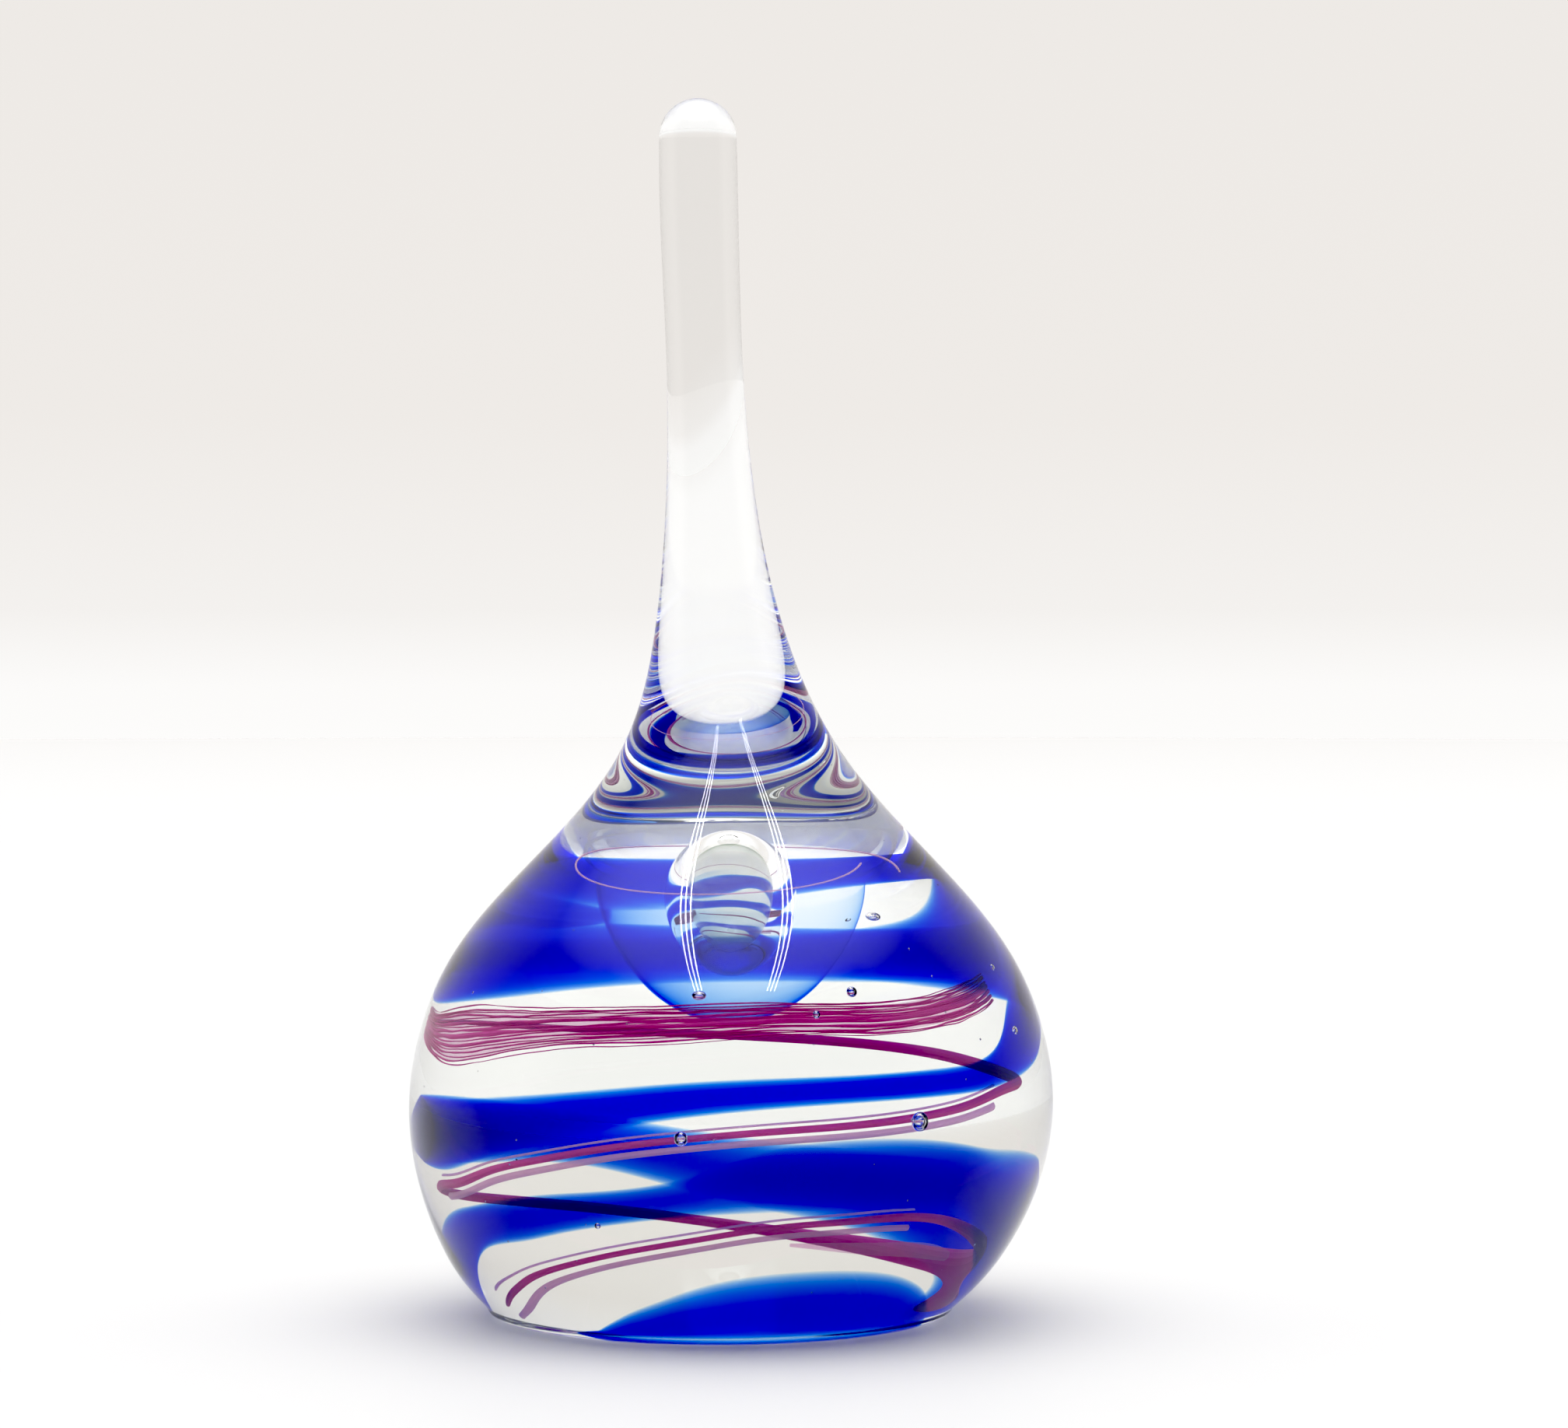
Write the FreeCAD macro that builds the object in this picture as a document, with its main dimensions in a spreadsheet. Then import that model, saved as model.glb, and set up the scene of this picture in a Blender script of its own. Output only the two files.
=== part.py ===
"""A solid glass ring holder: a teardrop paperweight with a tall drawn stem.

It is laid up the way a glassmaker does it: a clear first gather with an air bubble in it, cobalt
and amethyst glass trailed on in a rising spiral, and a clear second gather over everything, drawn
out into the stem and ground flat below. Millimetres, +Z up, origin at the middle of the flat base.
"""
import FreeCAD, Part
import math
import os
import Sketcher
from FreeCAD import Placement, Vector

doc = FreeCAD.newDocument("glass_ring_holder")
sheet = doc.addObject("Spreadsheet::Sheet", "Sizes")
sizes = {}


def size(alias, value):
    """Write one driving number into the sheet, under its alias."""
    row = len(sizes) + 1
    sheet.set(f"A{row}", str(value))
    sheet.setAlias(f"A{row}", alias)
    sizes[alias] = value


# ---------------------------------------------------------------- driving sizes
# Outline of the whole piece: height, radius, and how far the centre leans along X there.
WALL = [(0, 27.5, -1.44), (4, 31.64, -1.11), (9, 35.14, -0.71), (16, 38.13, -0.28),
        (26, 39.72, 0.0), (36, 38.18, 0.08), (44, 34.75, 0.11), (50, 30.41, 0.21),
        (56, 24.90, 0.30), (62, 19.27, 0.28), (68, 14.56, 0.03), (75, 10.87, -0.52),
        (85, 7.86, -1.46), (100, 5.57, -2.47), (120, 4.70, -3.36), (138, 4.85, -3.97),
        (145, 4.80, -4.07)]
size("base_edge_round", 1.2)

# The first gather is an egg, a little flattened where it was paddled, closing to a point above.
size("core_radius", 23.2)
size("core_waist_height", 28.0)
size("core_depth", 24.5)
size("core_rise", 28.0)
size("core_point_power", 0.85)
CORE_HEIGHTS = (5, 8, 13, 20, 28, 35, 41, 46, 50, 53, 55.2)

# The air bubble in the gather: an egg with its broad end down, as height and radius.
BUBBLE = [(36.09, 0.87), (36.85, 2.63), (38.67, 4.32), (41.25, 5.38), (44.78, 5.72),
          (48.21, 5.17), (50.95, 4.09), (52.98, 2.60), (54.06, 0.89)]
# A bowl of thin cobalt film hangs round the bubble, open at the top.
size("film_top", 46.0)
size("film_depth", 13.6)
size("film_radius", 11.8)
size("film_wall", 0.2)

# The form the cobalt is laid on, as height and radius; higher up it lies a lift off the egg.
LAID_FORM = [(0, 22.4), (6, 23.3), (12, 24.2), (20, 25.0), (28, 26.0)]
size("cobalt_lift", 2.8)
size("cobalt_half_thickness", 1.0)
# Cobalt: turn in degrees about +Z, then the height of the lower and of the upper edge.
COBALT_RIBBON = [
    (502, 6.0, 9.0), (512, 4.8, 13.0), (525, 4.4, 15.4), (535, 6.0, 16.3), (542, 9.4, 16.7),
    (550, 12.0, 17.0), (560, 13.1, 17.5), (572, 13.6, 18.2), (585, 14.6, 18.8), (600, 15.7, 19.4),
    (620, 16.8, 21.0), (640, 17.3, 23.8), (656, 17.4, 24.5), (680, 17.2, 24.1), (694, 17.0, 23.3),
    (702, 15.2, 22.8), (710, 10.0, 22.5), (720, 7.0, 22.3), (735, 6.8, 22.0), (748, 8.6, 21.8),
    (765, 12.6, 21.4), (782, 16.4, 21.2), (810, 18.4, 21.4), (830, 20.1, 22.5), (850, 20.6, 23.8),
    (870, 20.7, 24.8), (900, 20.2, 26.1), (920, 21.6, 27.2), (940, 23.3, 28.4), (960, 25.3, 29.6),
    (980, 26.9, 30.6), (1000, 27.8, 31.0), (1020, 28.1, 31.0), (1045, 28.0, 30.8),
    (1062, 27.9, 30.9), (1073, 28.0, 32.2), (1083, 28.1, 34.4), (1095, 28.3, 34.8),
    (1115, 28.9, 34.4), (1140, 29.5, 33.2), (1170, 29.7, 33.0), (1200, 30.0, 33.6),
    (1230, 31.8, 36.6), (1260, 34.9, 40.9), (1280, 36.8, 42.6), (1300, 38.5, 43.8),
    (1320, 39.8, 44.6), (1345, 40.5, 45.0), (1370, 40.4, 45.0), (1400, 39.4, 44.9),
    (1420, 38.0, 44.8), (1440, 36.0, 45.2), (1455, 36.6, 45.4), (1475, 38.4, 45.0),
    (1500, 38.8, 44.0), (1515, 37.6, 43.4), (1530, 35.4, 43.3), (1560, 34.6, 43.2),
    (1590, 37.2, 44.0), (1615, 41.4, 45.4), (1640, 43.4, 46.6), (1665, 45.4, 46.8)]
COBALT_FOOT = [(224, 0.9, 1.9), (231, 0.9, 3.7), (240, 0.9, 5.8), (250, 0.9, 7.4),
               (260, 0.9, 8.9), (270, 0.9, 10.0), (285, 0.9, 10.8), (302, 0.9, 10.9),
               (316, 0.9, 10.2), (325, 0.9, 9.0), (331, 0.9, 7.2), (335, 0.9, 4.6)]

# Amethyst strand: turn, height, lift off the egg and half width. Two lilac threads run along it
# wherever it is on the front.
AMETHYST = [
    (172, 10.0, 3.9, 0.20), (190, 10.1, 3.9, 0.30), (200, 10.5, 3.9, 0.34),
    (220, 11.6, 3.8, 0.34), (240, 13.0, 3.5, 0.34), (260, 14.4, 3.1, 0.36),
    (280, 15.7, 2.5, 0.36), (300, 16.3, 1.8, 0.40), (320, 16.7, 1.1, 0.44),
    (335, 16.6, 0.7, 0.46), (350, 16.1, 0.6, 0.56), (370, 15.6, 0.6, 0.74),
    (390, 15.8, 0.6, 0.88), (405, 16.1, 0.6, 0.86), (420, 16.5, 0.6, 0.66),
    (435, 16.8, 0.7, 0.44), (450, 17.2, 1.0, 0.34), (470, 17.9, 1.5, 0.34),
    (490, 18.5, 1.9, 0.36), (510, 18.9, 2.2, 0.38), (528, 19.0, 2.5, 0.40),
    (540, 19.1, 2.6, 0.42), (550, 19.6, 2.7, 0.42), (562, 20.6, 2.8, 0.38),
    (580, 22.0, 2.8, 0.36), (600, 23.6, 2.8, 0.36), (620, 24.8, 2.6, 0.36),
    (640, 25.5, 2.1, 0.36), (660, 25.8, 1.5, 0.38), (680, 26.1, 1.1, 0.40),
    (700, 26.5, 0.8, 0.42), (718, 26.9, 0.6, 0.44), (735, 26.6, 0.6, 0.42),
    (750, 26.1, 0.6, 0.40), (762, 26.0, 0.6, 0.38), (775, 26.4, 0.6, 0.36),
    (790, 26.8, 0.7, 0.32), (810, 27.1, 0.9, 0.26), (840, 27.9, 1.5, 0.18),
    (860, 29.0, 2.2, 0.12)]
LILAC_RUNS = [(172, 328), (530, 716)]
size("amethyst_half_thickness", 0.3)
size("lilac_half_thickness", 0.22)
size("lower_lilac_shift", -1.0)
size("lower_lilac_half_width", 0.34)
size("upper_lilac_shift", 0.75)
size("upper_lilac_half_width", 0.12)

# Combed streaks: turn, height of the middle, lift and half the spread of the bundle. Each line
# keeps its own place in the spread, from -1 to 1.
STREAKS = [(870, 30.2, 2.6, 1.1), (886, 30.9, 2.7, 1.8), (903, 32.0, 2.7, 2.7),
           (925, 33.8, 2.7, 2.4), (945, 35.2, 2.6, 2.0), (965, 36.0, 2.4, 1.8),
           (985, 36.5, 2.2, 1.7), (1005, 36.7, 1.9, 1.6), (1025, 36.2, 1.6, 1.6),
           (1045, 35.9, 1.4, 1.5), (1065, 35.8, 1.2, 1.4), (1085, 35.6, 1.0, 1.2)]
STREAK_PLACES = (-0.9, -0.6, -0.3, 0.0, 0.3, 0.6, 0.9)
size("streak_half_width", 0.13)
size("streak_half_thickness", 0.16)
# Smear and thread: turn, height, lift and half width.
SMEAR = [(286, 14.0, 2.4, 0.2), (298, 13.8, 2.2, 0.5), (312, 13.6, 2.0, 0.75),
         (326, 13.6, 1.8, 0.85), (338, 13.5, 1.6, 0.8), (348, 13.3, 1.5, 0.5)]
THREAD = [(20, 46.5, 0.8, 0.18), (110, 47.3, 0.8, 0.18), (200, 48.1, 0.8, 0.18),
          (290, 48.9, 0.8, 0.18), (360, 49.5, 0.8, 0.18)]
size("thread_half_thickness", 0.18)

# Seed bubbles in the outer gather: turn in degrees, distance from the axis, height, diameter.
SEEDS = [(312.5, 29.5, 26.2, 2.0), (259.5, 29.5, 25.1, 1.5), (297.5, 28.6, 40.6, 1.2),
         (289.5, 27.5, 38.0, 0.84), (350, 29.0, 33.6, 0.9)]

for name, rows in (("wall", WALL), ("bubble", BUBBLE)):
    for i, row in enumerate(rows):
        size(f"{name}_height_{i}", row[0])
        size(f"{name}_radius_{i}", row[1])
        if len(row) > 2:
            size(f"{name}_lean_{i}", row[2])
for i, height in enumerate(CORE_HEIGHTS):
    size(f"core_height_{i}", height)
doc.recompute()


# ---------------------------------------------------------------- round bodies
def origin_plane(body, role):
    """The body's own origin plane with this role."""
    return next(f for f in body.Origin.OriginFeatures if f.Role == role)


def round_body(label, count, name, radius_of, leans):
    """A body lofted through circles, each bound to the sheet's height, radius and lean."""
    body = doc.addObject("PartDesign::Body", label)
    circles = []
    for i in range(count):
        sketch = body.newObject("Sketcher::SketchObject", f"{label}_ring_{i}")
        sketch.AttachmentSupport = (origin_plane(body, "XY_Plane"), "")
        sketch.MapMode = "FlatFace"
        sketch.setExpression("AttachmentOffset.Base.z", f"Sizes.{name}_height_{i}")
        if leans:
            sketch.setExpression("AttachmentOffset.Base.x", f"Sizes.{name}_lean_{i}")
        sketch.addGeometry(Part.Circle(Vector(0, 0, 0), Vector(0, 0, 1), 10), False)
        sketch.addConstraint(Sketcher.Constraint("Coincident", 0, 3, -1, 1))
        ring = sketch.addConstraint(Sketcher.Constraint("Radius", 0, 10))
        sketch.setExpression(f"Constraints[{ring}]", radius_of(i))
        circles.append(sketch)
    doc.recompute()
    loft = body.newObject("PartDesign::AdditiveLoft", f"{label}_loft")
    loft.Profile = (circles[0], [""])
    loft.Sections = [(circle, [""]) for circle in circles[1:]]
    doc.recompute()
    return body


def core_radius_rule(i):
    """Egg: an ellipse below the waist, and above it a parabola raised to a power under one."""
    rise = f"(Sizes.core_height_{i} - Sizes.core_waist_height)"
    if CORE_HEIGHTS[i] < sizes["core_waist_height"]:
        return f"Sizes.core_radius * sqrt(1 - ({rise} / Sizes.core_depth) ^ 2)"
    return (f"Sizes.core_radius * (1 - ({rise} / Sizes.core_rise) ^ 2)"
            f" ^ Sizes.core_point_power")


def core_radius_at(height):
    """The same egg as core_radius_rule, as a number."""
    rise = height - sizes["core_waist_height"]
    if rise < 0:
        return sizes["core_radius"] * math.sqrt(1 - (rise / sizes["core_depth"]) ** 2)
    return sizes["core_radius"] * (1 - (rise / sizes["core_rise"]) ** 2) ** sizes["core_point_power"]


# The outer gather with its drawn stem, before the inside is taken out of it.
outer = round_body("outer_gather", len(WALL), "wall", lambda i: f"Sizes.wall_radius_{i}", True)
top = len(WALL) - 1
dome_sketch = outer.newObject("Sketcher::SketchObject", "stem_tip_outline")
dome_sketch.AttachmentSupport = (origin_plane(outer, "XZ_Plane"), "")
dome_sketch.MapMode = "FlatFace"
dome_sketch.setExpression("AttachmentOffset.Base.x", f"Sizes.wall_lean_{top}")
dome_sketch.setExpression("AttachmentOffset.Base.y", f"Sizes.wall_height_{top}")
tip = sizes[f"wall_radius_{top}"]
quarter = Part.Circle(Vector(0, 0, 0), Vector(0, 0, 1), tip)
dome_sketch.addGeometry(Part.ArcOfCircle(quarter, 0, math.pi / 2), False)
dome_sketch.addGeometry(Part.LineSegment(Vector(0, tip, 0), Vector(0, 0, 0)), False)
dome_sketch.addGeometry(Part.LineSegment(Vector(0, 0, 0), Vector(tip, 0, 0)), False)
for first, first_end, second, second_end in ((0, 3, -1, 1), (0, 2, 1, 1), (1, 2, -1, 1),
                                             (1, 2, 2, 1), (2, 2, 0, 1)):
    dome_sketch.addConstraint(
        Sketcher.Constraint("Coincident", first, first_end, second, second_end))
dome_sketch.addConstraint(Sketcher.Constraint("Horizontal", 2))
dome_sketch.addConstraint(Sketcher.Constraint("Vertical", 1))
tip_radius = dome_sketch.addConstraint(Sketcher.Constraint("Radius", 0, tip))
dome_sketch.setExpression(f"Constraints[{tip_radius}]", f"Sizes.wall_radius_{top}")
doc.recompute()
dome = outer.newObject("PartDesign::Revolution", "stem_tip")
dome.Profile = (dome_sketch, [""])
dome.ReferenceAxis = (dome_sketch, ["V_Axis"])
dome.Angle = 360
doc.recompute()
rim = min(range(len(dome.Shape.Edges)), key=lambda i: dome.Shape.Edges[i].BoundBox.ZMax)
edge = outer.newObject("PartDesign::Fillet", "base_edge")
edge.Base = (dome, [f"Edge{rim + 1}"])
edge.setExpression("Radius", "Sizes.base_edge_round")
doc.recompute()

first_gather = round_body("first_gather", len(CORE_HEIGHTS), "core", core_radius_rule, False)
bubble = round_body("air_bubble", len(BUBBLE), "bubble", lambda i: f"Sizes.bubble_radius_{i}", False)


# ---------------------------------------------------------------- cobalt film round the bubble
def ellipsoid(label, inset, top_angle):
    """An upright ellipsoid, smaller all round by the inset, cut level at the top angle."""
    form = doc.addObject("Part::Ellipsoid", label)
    form.setExpression("Radius1", f"Sizes.film_depth - {inset}")
    form.setExpression("Radius2", f"Sizes.film_radius - {inset}")
    form.setExpression("Radius3", f"Sizes.film_radius - {inset}")
    form.setExpression("Placement.Base.z", "Sizes.film_top")
    form.Angle2 = top_angle
    return form


cobalt_film = doc.addObject("Part::Cut", "cobalt_film")
cobalt_film.Base = ellipsoid("film_outside", "0", 0)
cobalt_film.Tool = ellipsoid("film_inside", "Sizes.film_wall", 90)
doc.recompute()


# ---------------------------------------------------------------- trails of coloured glass
RING_POINTS = 12


def through(table):
    """A smooth curve through a table's rows: called with a turn, it gives the other columns."""
    curve = Part.BSplineCurve()
    curve.interpolate([Vector(*row[1:]) for row in table], Parameters=[row[0] for row in table])
    return curve.value


laid_form = through(LAID_FORM)


def laid_radius(height):
    """Radius of the form the cobalt lies on, at this height."""
    if height < LAID_FORM[-1][0]:
        return laid_form(height).x
    return core_radius_at(height) + sizes["cobalt_lift"]


def stations(first, last, step):
    """Turns evenly spaced from the first to the last, about a step apart."""
    count = max(2, round((last - first) / step))
    return [first + (last - first) * i / count for i in range(count + 1)]


def ring_angles():
    """Angles round a section, with the first one again at the end."""
    return [math.tau * k / RING_POINTS for k in range(RING_POINTS + 1)]


def strip(rings):
    """A solid strip: one surface through all its sections, and a flat face closing each end."""
    surface = Part.BSplineSurface()
    surface.interpolate(rings)
    for row in range(1, surface.NbUPoles + 1):
        surface.setPole(row, surface.NbVPoles, surface.getPole(row, 1))
    skin = surface.toShape()
    ends = [Part.Face(Part.Wire([edge])) for edge in skin.Edges if edge.isClosed()]
    shell = Part.makeShell([skin] + ends)
    shell.sewShape()
    solid = Part.makeSolid(shell)
    if solid.Volume < 0:
        solid.reverse()
    return solid


def draped(edges):
    """A wide strip draped on the cobalt's form, between a lower and an upper edge at each turn."""
    rings = []
    for turn, low, high in edges:
        radial = Vector(math.cos(math.radians(turn)), math.sin(math.radians(turn)), 0)
        ring = []
        for b in ring_angles():
            height = (low + high) / 2 + (high - low) / 2 * math.cos(b)
            slope = (laid_radius(height + 0.1) - laid_radius(height - 0.1)) / 0.2
            outward = (radial - Vector(0, 0, slope)).normalize()
            ring.append(radial * laid_radius(height) + Vector(0, 0, height)
                        + outward * (sizes["cobalt_half_thickness"] * math.sin(b)))
        rings.append(ring)
    return strip(rings)


def thread(place, first, last, half_thickness, step):
    """A thread laid round the egg between two turns, with a flat ellipse for its section.

    place(turn) gives its height, its lift off the egg and its half width.
    """
    def centre(turn):
        height, lift, _ = place(turn)
        radius = core_radius_at(height) + lift
        angle = math.radians(turn)
        return Vector(radius * math.cos(angle), radius * math.sin(angle), height)

    rings = []
    for turn in stations(first, last, step):
        middle, half_width = centre(turn), place(turn)[2]
        ahead = centre(min(turn + 0.5, last)) - centre(max(turn - 0.5, first))
        slope = (core_radius_at(middle.z + 0.1) - core_radius_at(middle.z - 0.1)) / 0.2
        angle = math.radians(turn)
        across = Vector(math.cos(angle), math.sin(angle), -slope).cross(ahead).normalize()
        outward = ahead.cross(across).normalize()
        rings.append([middle + across * (half_width * math.cos(b))
                      + outward * (half_thickness * math.sin(b)) for b in ring_angles()])
    return strip(rings)


def along(table, thickness_name, step):
    """A thread that follows a table of turn, height, lift and half width from end to end."""
    return thread(through(table), table[0][0], table[-1][0], sizes[thickness_name], step)


def lilac(side, first, last):
    """A lilac thread beside the amethyst strand, lower or upper, between two turns."""
    strand = through(AMETHYST)

    def place(turn):
        height, lift, _ = strand(turn)
        return height + sizes[f"{side}_lilac_shift"], lift, sizes[f"{side}_lilac_half_width"]

    return thread(place, first, last, sizes["lilac_half_thickness"], 16)


def streak(share):
    """One line of the combed bundle, at this share of half its spread."""
    bundle = through(STREAKS)

    def place(turn):
        middle, lift, spread = bundle(turn)
        return middle + share * spread, lift, sizes["streak_half_width"]

    return thread(place, STREAKS[0][0], STREAKS[-1][0], sizes["streak_half_thickness"], 12)


def laid_piece(label, solids):
    """One named piece made of these solids."""
    piece = doc.addObject("Part::Feature", label)
    piece.Shape = solids[0] if len(solids) == 1 else Part.makeCompound(solids)
    piece.Placement = Placement()
    return piece


laid_piece("cobalt_ribbon", [draped(COBALT_RIBBON)])
laid_piece("cobalt_foot", [draped(COBALT_FOOT)])
laid_piece("amethyst_strand", [along(AMETHYST, "amethyst_half_thickness", 14)])
laid_piece("lilac_strand", [lilac(side, *run) for run in LILAC_RUNS for side in ("lower", "upper")])
laid_piece("amethyst_streaks", [streak(share) for share in STREAK_PLACES])
laid_piece("amethyst_smear", [along(SMEAR, "lilac_half_thickness", 8)])
laid_piece("seed_thread", [along(THREAD, "thread_half_thickness", 24)])

doc.recompute()
trails = [o for o in doc.Objects if o.TypeId == "Part::Feature"]

# ---------------------------------------------------------------- what is clear
clear_core = doc.addObject("Part::Cut", "clear_core")
clear_core.Base = first_gather
inside_core = doc.addObject("Part::Compound", "inside_of_first_gather")
inside_core.Links = [bubble, cobalt_film]
clear_core.Tool = inside_core

seeds = []
for i, (turn, distance, height, width) in enumerate(SEEDS):
    for alias, value in (("turn", turn), ("from_axis", distance), ("height", height),
                         ("width", width)):
        size(f"seed_{alias}_{i}", value)
    seed = doc.addObject("Part::Sphere", f"seed_bubble_{i}")
    seed.setExpression("Radius", f"Sizes.seed_width_{i} / 2")
    seed.setExpression("Placement.Base.x",
                       f"Sizes.seed_from_axis_{i} * cos(Sizes.seed_turn_{i} * 1 deg)")
    seed.setExpression("Placement.Base.y",
                       f"Sizes.seed_from_axis_{i} * sin(Sizes.seed_turn_{i} * 1 deg)")
    seed.setExpression("Placement.Base.z", f"Sizes.seed_height_{i}")
    seeds.append(seed)
doc.recompute()

inside = doc.addObject("Part::Compound", "inside_of_outer_gather")
inside.Links = [first_gather] + trails + seeds
clear_casing = doc.addObject("Part::Cut", "clear_casing")
clear_casing.Base = outer
clear_casing.Tool = inside
doc.recompute()

# ---------------------------------------------------------------- check and write
broken = [o.Name for o in doc.Objects if "Invalid" in o.State or "Error" in o.State]
if broken:
    raise RuntimeError(f"objects failed to build: {broken}")

pieces = [clear_casing, clear_core, cobalt_film] + trails
os.makedirs("parts", exist_ok=True)
for piece in pieces:
    shape = piece.Shape
    if shape.isNull() or not shape.isValid() or not shape.Solids:
        raise RuntimeError(f"{piece.Label} has no valid shape")
    shape.exportStep(os.path.join("parts", f"{piece.Label}.step"))
    print(f"{piece.Label}: {len(shape.Solids)} solid(s), {shape.Volume / 1000:.2f} cm3")
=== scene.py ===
"""A solid glass ring holder: a clear teardrop with a drawn stem, and coloured trails inside it.

The file goes through its glass one layer at a time: the outline, the second gather with its seed
bubbles, the first gather with its air bubble, the cobalt film, the cobalt, and the amethyst and
lilac. The table, light and camera come last.
"""
import math

import bpy
import numpy as np
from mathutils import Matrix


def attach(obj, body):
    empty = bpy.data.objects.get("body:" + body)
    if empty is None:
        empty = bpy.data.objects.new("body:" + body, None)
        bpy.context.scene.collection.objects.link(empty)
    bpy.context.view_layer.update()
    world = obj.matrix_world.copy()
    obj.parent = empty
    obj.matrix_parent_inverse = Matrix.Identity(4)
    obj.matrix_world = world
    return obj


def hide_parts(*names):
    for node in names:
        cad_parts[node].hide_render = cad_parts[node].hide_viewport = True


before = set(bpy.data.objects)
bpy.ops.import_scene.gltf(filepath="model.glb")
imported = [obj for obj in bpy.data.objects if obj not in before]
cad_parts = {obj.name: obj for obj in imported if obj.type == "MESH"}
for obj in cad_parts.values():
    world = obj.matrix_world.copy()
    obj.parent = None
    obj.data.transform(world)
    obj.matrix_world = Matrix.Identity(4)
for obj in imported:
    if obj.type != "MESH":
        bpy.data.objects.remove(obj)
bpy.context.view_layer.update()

MM = 0.001

# ------------------------------------------------------------------ outline of the blown form
# Height, radius and sideways lean of the centre, in millimetres. The base is ground flat and
# the stem ends in a fire-polished dome.
WALL = np.array([(0, 27.5, -1.44), (4, 31.64, -1.11), (9, 35.14, -0.71), (16, 38.13, -0.28),
                 (26, 39.72, 0.0), (36, 38.18, 0.08), (44, 34.75, 0.11), (50, 30.41, 0.21),
                 (56, 24.90, 0.30), (62, 19.27, 0.28), (68, 14.56, 0.03), (75, 10.87, -0.52),
                 (85, 7.86, -1.46), (100, 5.57, -2.47), (120, 4.70, -3.36), (138, 4.85, -3.97),
                 (145, 4.80, -4.07)])
BASE_EDGE = 1.2


def smooth(knots, values, at):
    """Natural cubic through the values at the knots: curvature solved so that slopes agree at
    each knot and vanishes at both ends."""
    knots, values, at = np.asarray(knots, float), np.asarray(values, float), np.asarray(at, float)
    gap, rise = np.diff(knots), np.diff(values) / np.diff(knots)
    count = len(knots)
    system, wanted = np.eye(count), np.zeros(count)
    inner = np.arange(1, count - 1)
    system[inner, inner - 1] = gap[:-1]
    system[inner, inner] = 2 * (gap[:-1] + gap[1:])
    system[inner, inner + 1] = gap[1:]
    wanted[inner] = 6 * np.diff(rise)
    bend = np.linalg.solve(system, wanted)
    i = np.clip(np.searchsorted(knots, at) - 1, 0, count - 2)
    left, right = at - knots[i], knots[i + 1] - at
    return (bend[i] * right ** 3 + bend[i + 1] * left ** 3) / (6 * gap[i]) \
        + (values[i] / gap[i] - bend[i] * gap[i] / 6) * right \
        + (values[i + 1] / gap[i] - bend[i + 1] * gap[i] / 6) * left


def tube(rings, start, end):
    """Skin over closed rings, an array (rows, columns, 3), with a fan to a point at each end.

    Columns run anticlockwise seen from the end point, so the faces look outwards.
    """
    rows, columns = rings.shape[:2]
    points = np.concatenate([rings.reshape(-1, 3), [start], [end]])
    r, c = np.meshgrid(np.arange(rows - 1), np.arange(columns), indexing="ij")
    near, far = r * columns + c, r * columns + (c + 1) % columns
    quads = np.stack([near, far, far + columns, near + columns], -1).reshape(-1, 4)
    c = np.arange(columns)
    first, last = rows * columns, rows * columns + 1
    below = np.stack([(c + 1) % columns, c, np.full(columns, first)], -1)
    top = (rows - 1) * columns
    above = np.stack([top + c, top + (c + 1) % columns, np.full(columns, last)], -1)
    return points, quads, np.concatenate([below, above])


def piece(name, skins, inside_out=(), rounded=True):
    """One mesh object from several skins, in millimetres; those numbered in inside_out are
    hollows, so their faces look into the hollow. Rounded pieces are shaded smooth."""
    mesh = bpy.data.meshes.new(name)
    corners, starts, points, used, loops = [], [], [], 0, 0
    for number, (where, quads, triangles) in enumerate(skins):
        for faces in (quads, triangles):
            faces = faces[:, ::-1] if number in inside_out else faces
            corners.append((faces + used).ravel())
            starts.append(loops + np.arange(len(faces)) * faces.shape[1])
            loops += faces.size
        points.append(where)
        used += len(where)
    points, starts, corners = (np.concatenate(part) for part in (points, starts, corners))
    mesh.vertices.add(len(points))
    mesh.vertices.foreach_set("co", (points * MM).astype(np.float32).ravel())
    mesh.loops.add(len(corners))
    mesh.loops.foreach_set("vertex_index", corners.astype(np.int32))
    mesh.polygons.add(len(starts))
    mesh.polygons.foreach_set("loop_start", starts.astype(np.int32))
    mesh.polygons.foreach_set("use_smooth", np.full(len(starts), rounded))
    mesh.update(calc_edges=True)
    mesh.validate()
    made = bpy.data.objects.new(name, mesh)
    bpy.context.scene.collection.objects.link(made)
    return made


def around(columns):
    """Angles of a ring's columns, anticlockwise seen from above."""
    return np.arange(columns) * math.tau / columns


# ------------------------------------------------------------------ second gather and stem
# The outer clear glass: a flat ground base, the round body, and the stem drawn up from it. Its
# outside is the one surface that bends light, with the seed bubbles as hollows inside.
def round_rings(heights, radii, leans, columns):
    """Level circles: x = lean + radius cos a, y = radius sin a, z = height."""
    angle = around(columns)
    return np.stack([leans[:, None] + radii[:, None] * np.cos(angle),
                     radii[:, None] * np.sin(angle),
                     np.repeat(heights[:, None], columns, 1)], -1)


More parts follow.
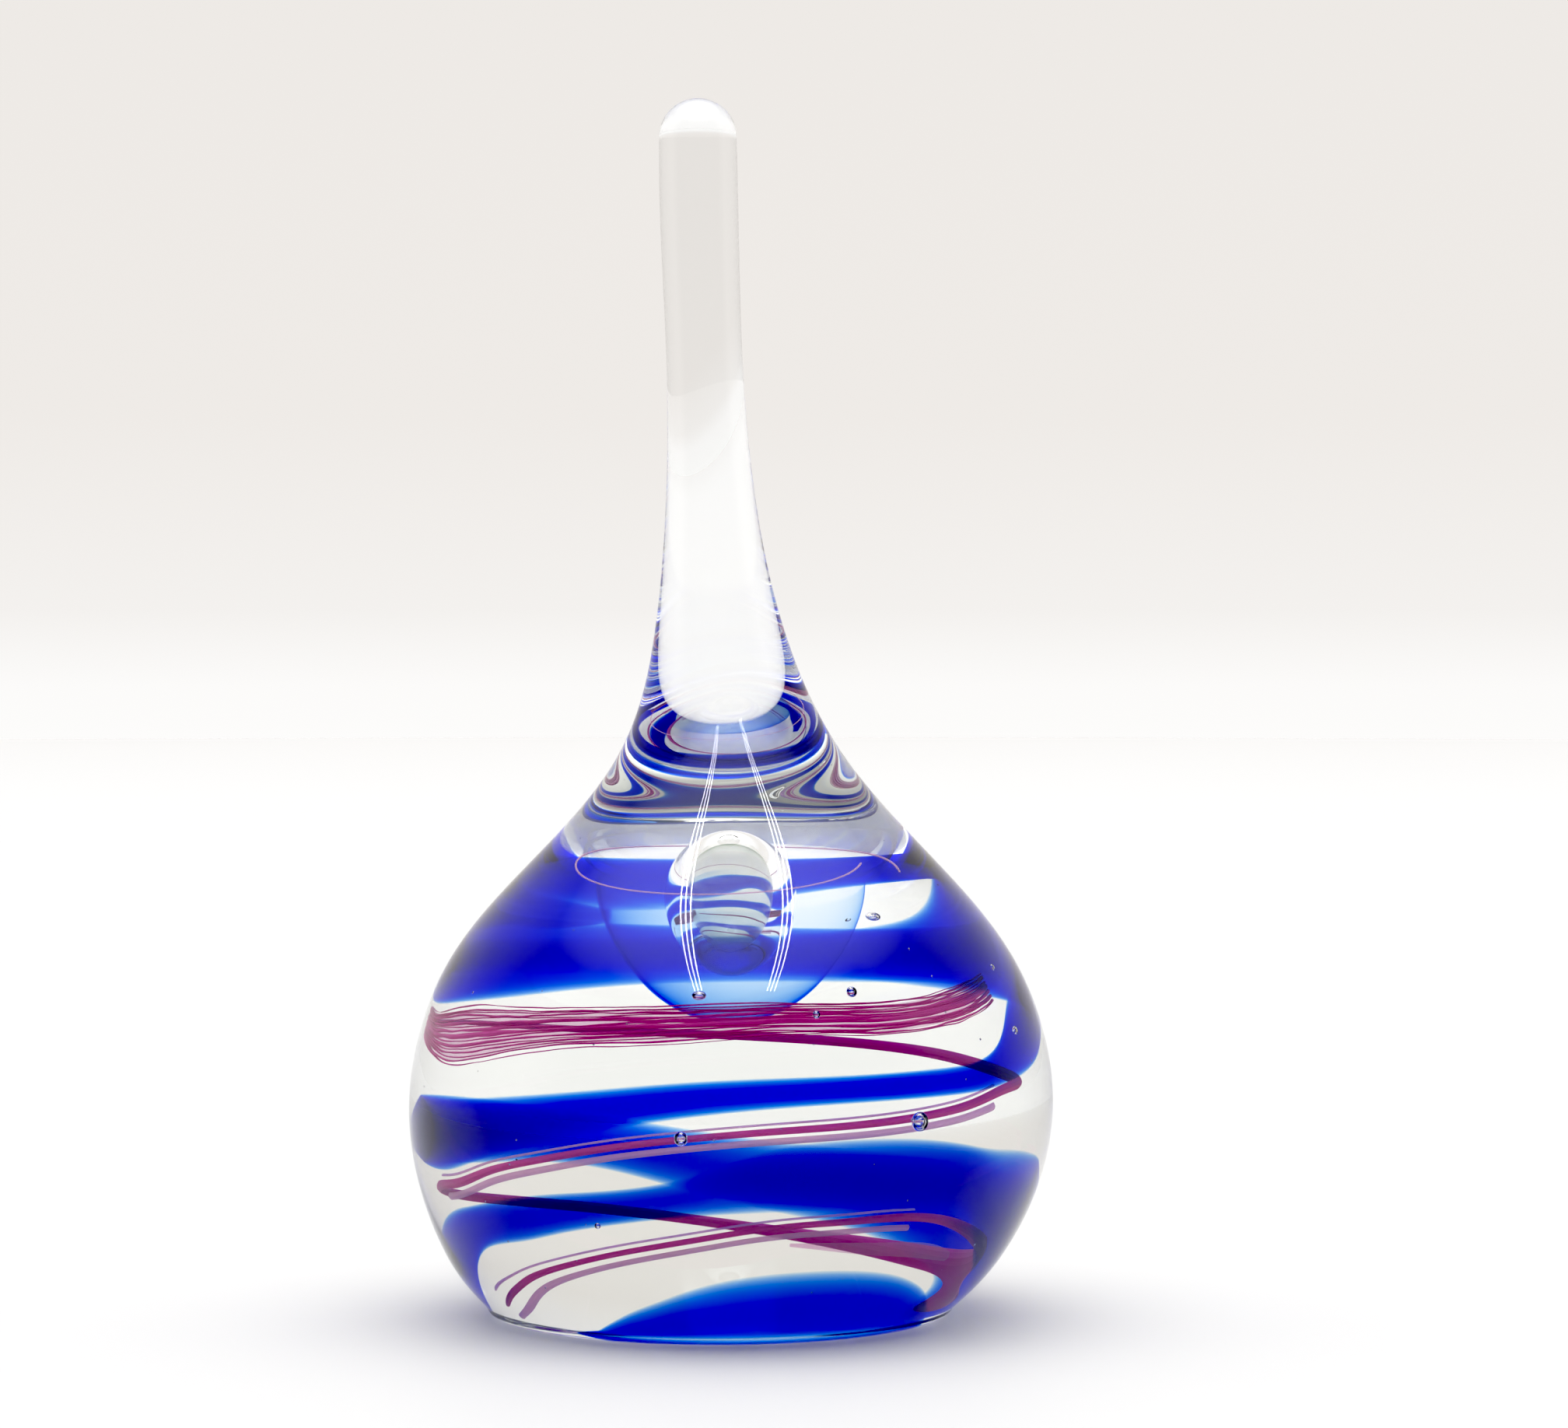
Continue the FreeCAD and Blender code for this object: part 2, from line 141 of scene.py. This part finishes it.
def casing_skin(columns=240):
    """The outline turned about its leaning centre: a quarter round at the base's edge, the cubic
    through WALL, and a hemisphere on the stem's end."""
    top, tip_radius, tip_lean = WALL[-1]
    flat = WALL[0, 1] - BASE_EDGE
    rise = np.concatenate([np.linspace(BASE_EDGE, 90, 240)[:-1], np.linspace(90, top, 60)])
    turn = np.linspace(0, math.pi / 2, 9)[:-1]
    edge_radius = smooth(WALL[:, 0], WALL[:, 1], BASE_EDGE)
    edge_z = BASE_EDGE * (1 - np.cos(turn))
    edge_r = flat + (edge_radius - flat) * np.sin(turn)
    over = np.linspace(0, math.pi / 2, 24)[1:-1]
    disc = np.array([0.3, 0.7]) * flat
    heights = np.concatenate([0 * disc, edge_z, rise, top + tip_radius * np.sin(over)])
    radii = np.concatenate([disc, edge_r, smooth(WALL[:, 0], WALL[:, 1], rise),
                            tip_radius * np.cos(over)])
    leans = smooth(WALL[:, 0], WALL[:, 2], np.minimum(heights, top))
    rings = round_rings(heights, radii, leans, columns)
    return tube(rings, (leans[0], 0, 0), (tip_lean, 0, top + tip_radius))


class Shade:
    """A shader socket that can be scaled and shifted: each operator adds a Math node."""

    def __init__(self, tree, socket):
        self.tree, self.socket = tree, socket

    def maths(self, operation, number):
        node = self.tree.nodes.new("ShaderNodeMath")
        node.operation = operation
        self.tree.links.new(self.socket, node.inputs[0])
        node.inputs[1].default_value = number
        return Shade(self.tree, node.outputs[0])

    def __add__(self, number):
        return self.maths("ADD", number)

    def __mul__(self, number):
        return self.maths("MULTIPLY", number)


class Finish:
    """A material's node tree, with one method that adds any node."""

    def __init__(self, name):
        self.material = bpy.data.materials.new(name)
        self.material.use_nodes = True
        self.tree = self.material.node_tree
        self.tree.nodes.clear()
        self.end = self.tree.nodes.new("ShaderNodeOutputMaterial")

    def add(self, kind, settings=None, output=0, **sockets):
        """A node of this kind: its settings first, then its sockets' values or links, named with
        underscores for spaces. Returns the output asked for."""
        node = self.tree.nodes.new(kind)
        for name, value in (settings or {}).items():
            if name == "stops":
                ramp = node.color_ramp.elements
                while len(ramp) < len(value):
                    ramp.new(0.5)
                for stop, (place, colour) in zip(ramp, value):
                    stop.position, stop.color = place, (*colour, 1)
            else:
                setattr(node, name, value)
        for name, value in sockets.items():
            slot = node.inputs[name.replace("_", " ")]
            if isinstance(value, Shade):
                self.tree.links.new(value.socket, slot)
            else:
                slot.default_value = value
        return Shade(self.tree, node.outputs[output])

    def out(self, **ends):
        for name, value in ends.items():
            self.tree.links.new(value.socket, self.end.inputs[name])
        return self.material


CLEAR_INDEX = 1.5


def clear_glass(name):
    """Water clear soda glass with a trace of warm grey, as thick glass has."""
    f = Finish(name)
    body = f.add("ShaderNodeBsdfPrincipled", Base_Color=(1, 1, 1, 1), Roughness=0.0,
                 IOR=CLEAR_INDEX, Transmission_Weight=1.0)
    tint = f.add("ShaderNodeVolumeAbsorption", Color=(0.80, 0.85, 0.75, 1), Density=4.0)
    return f.out(Surface=body, Volume=tint)


# Turn in degrees, distance from the middle, height, radius and flatness of each seed bubble.
SEEDS = ((312.5, 29.5, 26.2, 1.0, 1.0), (259.5, 29.5, 25.1, 0.75, 1.0),
         (297.5, 28.6, 40.6, 0.6, 1.0), (262.5, 26.5, 40.1, 0.8, 0.6),
         (319, 19.5, 46.5, 0.85, 0.6), (289.5, 27.5, 38.0, 0.42, 1.0),
         (350, 29.0, 33.6, 0.45, 1.0), (351, 27.0, 39.9, 0.35, 1.0),
         (239.5, 28.0, 15.5, 0.35, 1.0))
FINE_SEEDS = 90


def seed_skin(turn, distance, height, radius, flatness, columns=16):
    """A small round or flattened void, as rings of latitude."""
    v = np.linspace(0, math.pi, 11)[1:-1]
    a = math.radians(turn)
    middle = np.array([distance * math.cos(a), distance * math.sin(a), height])
    rings = round_rings(-radius * flatness * np.cos(v), radius * np.sin(v), 0 * v, columns) + middle
    rise = np.array([0, 0, radius * flatness])
    return tube(rings, middle - rise, middle + rise)


def fine_seeds(count):
    """Pinhead bubbles scattered through the outer half of the casing."""
    luck = np.random.default_rng(7)
    turns, heights = luck.uniform(0, 360, count), luck.uniform(6, 50, count)
    outer = smooth(WALL[:, 0], WALL[:, 1], heights)
    return [(turn, wall - gap, height, radius, 1.0) for turn, wall, gap, height, radius in
            zip(turns, outer, luck.uniform(1.5, 5.5, count), heights,
                luck.uniform(0.05, 0.14, count))]


voids = [seed_skin(*seed) for seed in SEEDS] \
    + [seed_skin(*seed, columns=8) for seed in fine_seeds(FINE_SEEDS)]
casing = piece("clear_casing_glass", [casing_skin()] + voids,
               inside_out=range(1, 1 + len(voids)))
casing.data.materials.append(clear_glass("clear_casing_glass"))
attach(casing, "root")
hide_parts("clear_casing")

# ------------------------------------------------------------------ first gather and its bubble
# The egg of the first gather is fused to the casing, so its skin is there but bends nothing.
# Only the air bubble inside it shows, as a hollow.
CORE_RADIUS, CORE_WAIST, CORE_DEPTH, CORE_RISE, CORE_POINT = 23.2, 28.0, 24.5, 28.0, 0.85
CORE_FOOT, CORE_TOP, CORE_ROWS, CORE_COLUMNS = 5.0, 55.2, 90, 96
BUBBLE_FOOT, BUBBLE_TOP, BUBBLE_RADIUS = 36.0, 54.2, 5.7


def core_radius(height):
    """An egg: an ellipse below the waist, and above it a parabola to a power under one."""
    rise = np.asarray(height, float) - CORE_WAIST
    below = np.sqrt(np.clip(1 - (rise / CORE_DEPTH) ** 2, 0, 1))
    above = np.clip(1 - (rise / CORE_RISE) ** 2, 0, 1) ** CORE_POINT
    return CORE_RADIUS * np.where(rise < 0, below, above)


def core_skin():
    """The egg as level circles, evenly spaced in height."""
    heights = np.linspace(CORE_FOOT, CORE_TOP, CORE_ROWS)
    rings = round_rings(heights, core_radius(heights), 0 * heights, CORE_COLUMNS)
    return tube(rings, (0, 0, CORE_FOOT), (0, 0, CORE_TOP))


def bubble_skin(columns=96):
    """An upright egg: radius = half width * sin v * (1 + 0.1 cos v), from foot to crown."""
    v = np.linspace(0, math.pi, 90)[1:-1]
    middle, half = (BUBBLE_FOOT + BUBBLE_TOP) / 2, (BUBBLE_TOP - BUBBLE_FOOT) / 2
    heights = middle - half * np.cos(v)
    radii = BUBBLE_RADIUS * np.sin(v) * (1 + 0.1 * np.cos(v))
    rings = round_rings(heights, radii, 0 * heights, columns)
    return tube(rings, (0, 0, middle - half), (0, 0, middle + half))


def fused_joint(name):
    """The join of two layers of the same glass: nothing bends or shines there."""
    f = Finish(name)
    return f.out(Surface=f.add("ShaderNodeBsdfTransparent", Color=(1, 1, 1, 1)))


core = piece("clear_core_glass", [core_skin(), bubble_skin()], inside_out=(1,))
core.data.materials.append(fused_joint("core_fused_joint"))
core.data.materials.append(clear_glass("bubble_wall_glass"))
egg_faces = CORE_COLUMNS * (CORE_ROWS + 1)
which = np.zeros(len(core.data.polygons), np.int32)
which[egg_faces:] = 1
core.data.polygons.foreach_set("material_index", which)
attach(core, "root")
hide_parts("clear_core")

# ------------------------------------------------------------------ cobalt film round the bubble
# Height of its rim, how far it hangs, its radius, and the thickness of its wall.
FILM_TOP, FILM_DEPTH, FILM_RADIUS = 46.0, 13.6, 11.8
FILM_SIDE, FILM_FACE, FILM_SHIFT = 0.20, 0.08, 0.15


def film_skin(columns=96, rows=40):
    """A bowl: half an ellipsoid outside, and inside it a smaller one set off to the right, so
    the wall is thick on the left and thin in front, behind and on the right."""
    v = np.linspace(0.04, math.pi / 2, rows)
    outer = round_rings(FILM_TOP - FILM_DEPTH * np.cos(v), FILM_RADIUS * np.sin(v), 0 * v, columns)
    v = v[::-1]
    inner = round_rings(FILM_TOP - (FILM_DEPTH - FILM_SIDE) * np.cos(v),
                        (FILM_RADIUS - FILM_SIDE) * np.sin(v), 0 * v, columns)
    inner[..., 0] += FILM_SHIFT * np.sin(v)[:, None]
    inner[..., 1] *= (FILM_RADIUS - FILM_FACE) / (FILM_RADIUS - FILM_SIDE)
    return tube(np.concatenate([outer, inner]), (0, 0, FILM_TOP - FILM_DEPTH),
                (0, 0, FILM_TOP - FILM_DEPTH + FILM_SIDE))


def coloured_glass(name, let_through, density, body=(1, 1, 1), clearness=1.0):
    """Coloured glass fused into clear: no shine at the join, and colour by its thickness. Less
    clear glass shows its body colour too."""
    f = Finish(name)
    surface = f.add("ShaderNodeBsdfPrincipled", Base_Color=(*body, 1), Roughness=0.0,
                    IOR=1.0, Transmission_Weight=clearness)
    tint = f.add("ShaderNodeVolumeAbsorption", Color=(*let_through, 1), Density=density)
    return f.out(Surface=surface, Volume=tint)


film = piece("cobalt_film_glass", [film_skin()], rounded=False)
film.data.materials.append(coloured_glass("cobalt_film_glass", (0.0, 0.50, 0.958), 1900))
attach(film, "root")
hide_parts("cobalt_film")

# ------------------------------------------------------------------ cobalt ribbon and foot
# One wide ribbon goes round a little over three times, and a second patch starts at the foot.
# Both thin out to their edges, where the blue turns paler.
# The form the cobalt is laid on: height and radius, and above it the egg itself.
LAID_FORM = np.array([(0, 22.4), (6, 23.3), (12, 24.2), (20, 25.0), (28, 26.0)])
LAID_LIFT, COBALT_THICK = 2.8, 1.0
# Turn in degrees, then the height of the lower and of the upper edge.
COBALT_EDGES = np.array([
    (502, 6.0, 9.0), (512, 4.8, 13.0), (525, 4.4, 15.4), (535, 6.0, 16.3), (542, 9.4, 16.7),
    (550, 12.0, 17.0), (560, 13.1, 17.5), (572, 13.6, 18.2), (585, 14.6, 18.8), (600, 15.7, 19.4),
    (620, 16.8, 21.0), (640, 17.3, 23.8), (656, 17.4, 24.5), (680, 17.2, 24.1), (694, 17.0, 23.3),
    (702, 15.2, 22.8), (710, 10.0, 22.5), (720, 7.0, 22.3), (735, 6.8, 22.0), (748, 8.6, 21.8),
    (765, 12.6, 21.4), (782, 16.4, 21.2), (810, 18.4, 21.4), (830, 20.1, 22.5), (850, 20.6, 23.8),
    (870, 20.7, 24.8), (900, 20.2, 26.1), (920, 21.6, 27.2), (940, 23.3, 28.4),
    (960, 25.3, 29.6), (980, 26.9, 30.6), (1000, 27.8, 31.0), (1020, 28.1, 31.0),
    (1045, 28.0, 30.8), (1062, 27.9, 30.9), (1073, 28.0, 32.2), (1083, 28.1, 34.4),
    (1095, 28.3, 34.8), (1115, 28.9, 34.4), (1140, 29.5, 33.2), (1170, 29.7, 33.0),
    (1200, 30.0, 33.6), (1230, 31.8, 36.6), (1260, 34.9, 40.9), (1280, 36.8, 42.6),
    (1300, 38.5, 43.8), (1320, 39.8, 44.6), (1345, 40.5, 45.0), (1370, 40.4, 45.0),
    (1400, 39.4, 44.9), (1420, 38.0, 44.8), (1440, 36.0, 45.2), (1455, 36.6, 45.4),
    (1475, 38.4, 45.0), (1500, 38.8, 44.0), (1515, 37.6, 43.4), (1530, 35.4, 43.3),
    (1560, 34.6, 43.2), (1590, 37.2, 44.0), (1615, 41.4, 45.4), (1640, 43.4, 46.6),
    (1665, 45.4, 46.8)])
COBALT_FOOT = np.array([(224, 0.9, 1.9), (231, 0.9, 3.7), (240, 0.9, 5.8), (250, 0.9, 7.4),
                        (260, 0.9, 8.9), (270, 0.9, 10.0), (285, 0.9, 10.8), (302, 0.9, 10.9),
                        (316, 0.9, 10.2), (325, 0.9, 9.0), (331, 0.9, 7.2), (335, 0.9, 4.6)])


def laid_radius(height):
    """Radius of the cobalt's form: the table below the egg's waist, a lift off the egg above."""
    low = smooth(LAID_FORM[:, 0], LAID_FORM[:, 1], np.clip(height, 0, LAID_FORM[-1, 0]))
    return np.where(height < LAID_FORM[-1, 0], low, core_radius(height) + LAID_LIFT)


def trail_skin(path, thick, columns=12, step=2.0):
    """A thread laid round the egg. The path gives turn, height, lift off the egg and half width;
    its section is x = half width cos b across, thick sin b |sin b| outwards."""
    turns = np.arange(path[0, 0], path[-1, 0] + step / 2, step)
    height, lift, half = (smooth(path[:, 0], path[:, side], turns) for side in (1, 2, 3))
    angle = np.radians(turns)
    radial = np.stack([np.cos(angle), np.sin(angle), 0 * angle], -1)
    centre = radial * (core_radius(height) + lift)[:, None] + height[:, None] * np.array([0, 0, 1])
    ahead = np.gradient(centre, axis=0)
    ahead /= np.linalg.norm(ahead, axis=1, keepdims=True)
    slope = (core_radius(height + 0.1) - core_radius(height - 0.1)) / 0.2
    normal = radial - slope[:, None] * np.array([0, 0, 1])
    across = np.cross(normal, ahead)
    across /= np.linalg.norm(across, axis=1, keepdims=True)
    outward = np.cross(ahead, across)
    b = around(columns)
    rings = centre[:, None] + across[:, None] * (half[:, None] * np.cos(b))[..., None] \
        + outward[:, None] * (thick * np.sin(b) * np.abs(np.sin(b)))[None, :, None]
    return tube(rings, rings[0].mean(0), rings[-1].mean(0))


def draped_skin(edges, thick, columns=28, step=2.0):
    """A wide strip draped on the cobalt's form: at each turn it spans from its lower to its upper
    edge, and every point is lifted along the form's normal by thick sin b |sin b|."""
    turns = np.arange(edges[0, 0], edges[-1, 0] + step / 2, step)
    low, high = (smooth(edges[:, 0], edges[:, side], turns)[:, None] for side in (1, 2))
    b = around(columns)[None]
    height = (low + high) / 2 + (high - low) / 2 * np.cos(b)
    raised = thick * np.sin(b) * np.abs(np.sin(b))
    slope = (laid_radius(height + 0.1) - laid_radius(height - 0.1)) / 0.2
    steep = np.sqrt(1 + slope ** 2)
    radius = laid_radius(height) + raised / steep
    angle = np.radians(turns)[:, None]
    rings = np.stack([radius * np.cos(angle), radius * np.sin(angle),
                      height - raised * slope / steep], -1)
    return tube(rings, rings[0].mean(0), rings[-1].mean(0))


cobalt = coloured_glass("cobalt_glass", (0.0, 0.50, 0.958), 3600)
for name, skin, node in (
        ("cobalt_ribbon_glass", draped_skin(COBALT_EDGES, COBALT_THICK), "cobalt_ribbon"),
        ("cobalt_foot_glass", draped_skin(COBALT_FOOT, COBALT_THICK), "cobalt_foot")):
    laid = piece(name, [skin], rounded=False)
    laid.data.materials.append(cobalt)
    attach(laid, "root")
    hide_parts(node)

# ------------------------------------------------------------------ amethyst and lilac threads
# One red-purple strand winds up between the blue turns with lilac threads beside it. Its last
# turn is combed out into fine lines over a pale veil, and a hair-thin thread rings the bubble.
# Turn, height, lift off the egg and half width of the one long strand.
AMETHYST = np.array([
    (172, 10.0, 3.9, 0.20), (190, 10.1, 3.9, 0.30), (200, 10.5, 3.9, 0.34),
    (220, 11.6, 3.8, 0.34), (240, 13.0, 3.5, 0.34), (260, 14.4, 3.1, 0.36),
    (280, 15.7, 2.5, 0.36), (300, 16.3, 1.8, 0.40), (320, 16.7, 1.1, 0.44),
    (335, 16.6, 0.7, 0.46), (350, 16.1, 0.6, 0.56), (370, 15.6, 0.6, 0.74),
    (390, 15.8, 0.6, 0.88), (405, 16.1, 0.6, 0.86), (420, 16.5, 0.6, 0.66),
    (435, 16.8, 0.7, 0.44), (450, 17.2, 1.0, 0.34), (470, 17.9, 1.5, 0.34),
    (490, 18.5, 1.9, 0.36), (510, 18.9, 2.2, 0.38), (528, 19.0, 2.5, 0.40),
    (540, 19.1, 2.6, 0.42), (550, 19.6, 2.7, 0.42), (562, 20.6, 2.8, 0.38),
    (580, 22.0, 2.8, 0.36), (600, 23.6, 2.8, 0.36), (620, 24.8, 2.6, 0.36),
    (640, 25.5, 2.1, 0.36), (660, 25.8, 1.5, 0.38), (680, 26.1, 1.1, 0.40),
    (700, 26.5, 0.8, 0.42), (718, 26.9, 0.6, 0.44), (735, 26.6, 0.6, 0.42),
    (750, 26.1, 0.6, 0.40), (762, 26.0, 0.6, 0.38), (775, 26.4, 0.6, 0.36),
    (790, 26.8, 0.7, 0.32), (810, 27.1, 0.9, 0.26), (840, 27.9, 1.5, 0.18),
    (860, 29.0, 2.2, 0.12)])
LILAC_RUNS, LILAC_LINES = ((172, 328), (530, 716)), ((-1.0, 0.34), (0.75, 0.12))
# Turn, height of the middle, lift and half the spread of the bundle; then its lines, each with
# its place in the spread and its half width.
STREAKS = np.array([(870, 30.2, 2.6, 1.1), (886, 30.9, 2.7, 1.8), (903, 32.0, 2.7, 2.7),
                    (925, 33.8, 2.7, 2.4), (945, 35.2, 2.6, 2.0), (965, 36.0, 2.4, 1.8),
                    (985, 36.5, 2.2, 1.7), (1005, 36.7, 1.9, 1.6), (1025, 36.2, 1.6, 1.6),
                    (1045, 35.9, 1.4, 1.5), (1065, 35.8, 1.2, 1.4), (1085, 35.6, 1.0, 1.2)])
STREAK_LINES = ((-1.0, 0.05), (-0.86, 0.08), (-0.72, 0.05), (-0.60, 0.10), (-0.45, 0.06),
                (-0.33, 0.12), (-0.18, 0.07), (-0.02, 0.22), (0.16, 0.16), (0.32, 0.07),
                (0.45, 0.12), (0.58, 0.05), (0.70, 0.09), (0.82, 0.05), (0.93, 0.08),
                (1.05, 0.05))
SMEAR = np.array([(286, 14.0, 2.4, 0.2), (298, 13.8, 2.2, 0.5), (312, 13.6, 2.0, 0.75),
                  (326, 13.6, 1.8, 0.85), (338, 13.5, 1.6, 0.8), (348, 13.3, 1.5, 0.5)])
THREAD = np.array([(20, 46.5, 0.8, 0.11), (110, 47.3, 0.8, 0.11), (200, 48.1, 0.8, 0.11),
                   (290, 48.9, 0.8, 0.11), (360, 49.5, 0.8, 0.11)])


def wash(bundle, thick):
    """A veil as wide as the bundle, behind its lines: the lift falls by 0.35 and the half width
    is the spread."""
    turns = np.arange(bundle[0, 0], bundle[-1, 0] + 1, 5.0)
    middle, lift, spread = (smooth(bundle[:, 0], bundle[:, side], turns) for side in (1, 2, 3))
    return trail_skin(np.column_stack([turns, middle, lift - 0.35, 0.9 * spread]), thick, 16)


def beside(path, shift, half, start, stop):
    """The part of a path between two turns, moved up or down, with a width of its own."""
    turns = np.arange(start, stop + 1, 8.0)
    height, lift = (smooth(path[:, 0], path[:, side], turns) for side in (1, 2))
    return np.column_stack([turns, height + shift, lift, half + 0 * turns])


def combed(bundle, place, half):
    """One line of a bundle: its height is the middle plus place times the spread, with a slow
    waver and a width that swells and thins."""
    turns = np.arange(bundle[0, 0], bundle[-1, 0] + 1, 5.0)
    middle, lift, spread = (smooth(bundle[:, 0], bundle[:, side], turns) for side in (1, 2, 3))
    luck = np.random.default_rng(int(100 + 50 * place))
    waver = np.convolve(luck.normal(0, 0.16, len(turns) + 4), np.ones(5) / 5, "valid")
    swell = np.convolve(luck.uniform(0.3, 1.9, len(turns) + 2), np.ones(3) / 3, "valid")
    return np.column_stack([turns, middle + place * spread + waver, lift, half * swell])


# Red-purple and lilac glass are full of fine seeds, so part of their colour is a body colour.
veil = coloured_glass("amethyst_veil_glass", (0.90, 0.55, 0.80), 1100, (0.94, 0.76, 0.88), 0.85)
amethyst = coloured_glass("amethyst_glass", (0.78, 0.10, 0.52), 2200, (0.78, 0.17, 0.52), 0.4)
lilac = coloured_glass("lilac_glass", (0.85, 0.50, 0.78), 700, (0.86, 0.58, 0.80), 0.5)
for name, node, skins, glass, slot in (
        ("amethyst_strand_glass", "amethyst_strand", [trail_skin(AMETHYST, 0.3)], amethyst,
         "amethyst_glass"),
        ("lilac_strand_glass", "lilac_strand",
         [trail_skin(beside(AMETHYST, shift, half, *run), 0.22)
          for run in LILAC_RUNS for shift, half in LILAC_LINES], lilac, "lilac_glass"),
        ("amethyst_streaks_glass", "amethyst_streaks",
         [trail_skin(combed(STREAKS, *line), 0.2, 8) for line in STREAK_LINES], amethyst,
         "amethyst_glass"),
        ("streak_veil_glass", "amethyst_streaks", [wash(STREAKS, 0.06)], veil, "amethyst_glass"),
        ("amethyst_smear_glass", "amethyst_smear", [trail_skin(SMEAR, 0.22)], veil,
         "amethyst_glass"),
        ("seed_thread_glass", "seed_thread", [trail_skin(THREAD, 0.11, 8)], lilac,
         "lilac_glass")):
    laid = piece(name, skins, rounded=False)
    laid.data.materials.append(glass)
    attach(laid, "root")
    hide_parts(node)

# ------------------------------------------------------------------ table, light and camera
scene = bpy.context.scene
scene.view_settings.view_transform = "Standard"
scene.view_settings.use_curve_mapping = True
scene.view_settings.curve_mapping.black_level = (0.06, 0.06, 0.06)
scene.cycles.max_bounces = 32
scene.cycles.transmission_bounces = 32
scene.cycles.glossy_bounces = 16
scene.cycles.transparent_max_bounces = 32
scene.cycles.caustics_refractive = True
scene.cycles.caustics_reflective = True

# The table is a flat disc a hair under the base, in millimetres: an inner ring and the rim.
TABLE_INNER, TABLE_REACH, TABLE_DROP, TABLE_COLUMNS = 50.0, 2700.0, -0.05, 64
floor_angle = around(TABLE_COLUMNS)
floor_rings = np.stack([np.outer([TABLE_INNER, TABLE_REACH], np.cos(floor_angle)),
                        np.outer([TABLE_INNER, TABLE_REACH], np.sin(floor_angle)),
                        np.full((2, TABLE_COLUMNS), TABLE_DROP)], -1)
where, quads, fans = tube(floor_rings, (0, 0, TABLE_DROP), (0, 0, TABLE_DROP))
table = piece("table_top", [(where, quads, fans[:TABLE_COLUMNS])])
table.data.flip_normals()
# The white table's colour is painted lighter round the piece and darker towards its far rim:
# painted shade where the light falls off.
paper = Finish("white_table")
place = paper.add("ShaderNodeTexCoord", output="Object")
reach = paper.add("ShaderNodeVectorMath", {"operation": "LENGTH"}, output="Value", Vector=place)
falloff_shade = paper.add("ShaderNodeValToRGB", {"stops": [
    (0.0, (0.72, 0.72, 0.72)), (0.25, (0.71, 0.71, 0.71)), (0.6, (0.70, 0.70, 0.70)),
    (1.0, (0.665, 0.66, 0.655))]}, Fac=reach * (1000 / TABLE_REACH))
table.data.materials.append(paper.out(Surface=paper.add(
    "ShaderNodeBsdfPrincipled", Base_Color=falloff_shade, Roughness=0.6)))

world = bpy.data.worlds.new("light_tent")
scene.world = world
world.use_nodes = True
sky = world.node_tree
sky.nodes.clear()
direction = sky.nodes.new("ShaderNodeTexCoord").outputs["Generated"]
split = sky.nodes.new("ShaderNodeSeparateXYZ")
sky.links.new(direction, split.inputs[0])


def sky_ramp(axis, stops):
    """Brightness by the view direction's part along one axis, from -1 to 1."""
    ramp = sky.nodes.new("ShaderNodeValToRGB")
    while len(ramp.color_ramp.elements) < len(stops):
        ramp.color_ramp.elements.new(0.5)
    for stop, (place, colour) in zip(ramp.color_ramp.elements, stops):
        stop.position, stop.color = place, (*colour, 1)
    along = Shade(sky, split.outputs[axis]) * 0.5 + 0.5
    sky.links.new(along.socket, ramp.inputs[0])
    return ramp.outputs[0]


height_light = sky_ramp("Z", [
    (0.0, (1.0, 1.0, 1.0)), (0.475, (1.0, 1.0, 0.99)), (0.4925, (0.975, 0.965, 0.955)),
    (0.5, (0.908, 0.888, 0.868)), (0.52, (0.870, 0.840, 0.811)), (0.7, (0.84, 0.81, 0.78)),
    (0.85, (1.0, 1.0, 1.0)), (0.93, (2.4, 2.4, 2.4)), (1.0, (3.2, 3.2, 3.2))])
front_shade = sky_ramp("Y", [(0.0, (0.1, 0.1, 0.1)), (0.25, (0.12, 0.12, 0.12)),
                             (0.42, (1.0, 1.0, 1.0)), (1.0, (1.0, 1.0, 1.0))])
open_top = sky_ramp("Z", [(0.0, (0.0, 0.0, 0.0)), (0.80, (0.0, 0.0, 0.0)),
                          (0.90, (1.0, 1.0, 1.0)), (1.0, (1.0, 1.0, 1.0))])


def blend(operation, first, second):
    """Two sky colours multiplied, or the brighter of the two."""
    node = sky.nodes.new("ShaderNodeVectorMath")
    node.operation = operation
    sky.links.new(first, node.inputs[0])
    sky.links.new(second, node.inputs[1])
    return node.outputs[0]


glow = sky.nodes.new("ShaderNodeBackground")
sky.links.new(blend("MULTIPLY", height_light, blend("MAXIMUM", front_shade, open_top)),
              glow.inputs["Color"])
world_end = sky.nodes.new("ShaderNodeOutputWorld")
sky.links.new(glow.outputs[0], world_end.inputs["Surface"])

# Two lamps of three bare tubes each: sizes in metres, and the tubes' brightness. Only the glass's
# reflections see them.
TUBE_WIDTH, TUBE_GAP, TUBE_LENGTH, TUBE_GLOW = 0.005, 0.0155, 0.56, 22
for side in (-0.148, 0.172):
    for number in (-1, 0, 1):
        lamp_data = bpy.data.lights.new("lamp_tube", "AREA")
        lamp_data.shape = "RECTANGLE"
        lamp_data.size, lamp_data.size_y = TUBE_WIDTH, TUBE_LENGTH
        lamp_data.energy = TUBE_GLOW * math.pi * TUBE_LENGTH * TUBE_WIDTH
        lamp = bpy.data.objects.new("lamp_tube", lamp_data)
        lamp.location = (side + number * TUBE_GAP, -0.23, 0.65)
        lamp.visible_camera = lamp.visible_diffuse = lamp.visible_transmission = False
        scene.collection.objects.link(lamp)

camera_data = bpy.data.cameras.new("camera")
camera_data.lens = 111.7
camera_data.sensor_width = 36
camera = bpy.data.objects.new("camera", camera_data)
camera.location = (0, -0.6, 0.087)
camera.rotation_euler = (math.radians(90 - 1.236), 0, math.radians(-0.623))
scene.collection.objects.link(camera)
scene.camera = camera
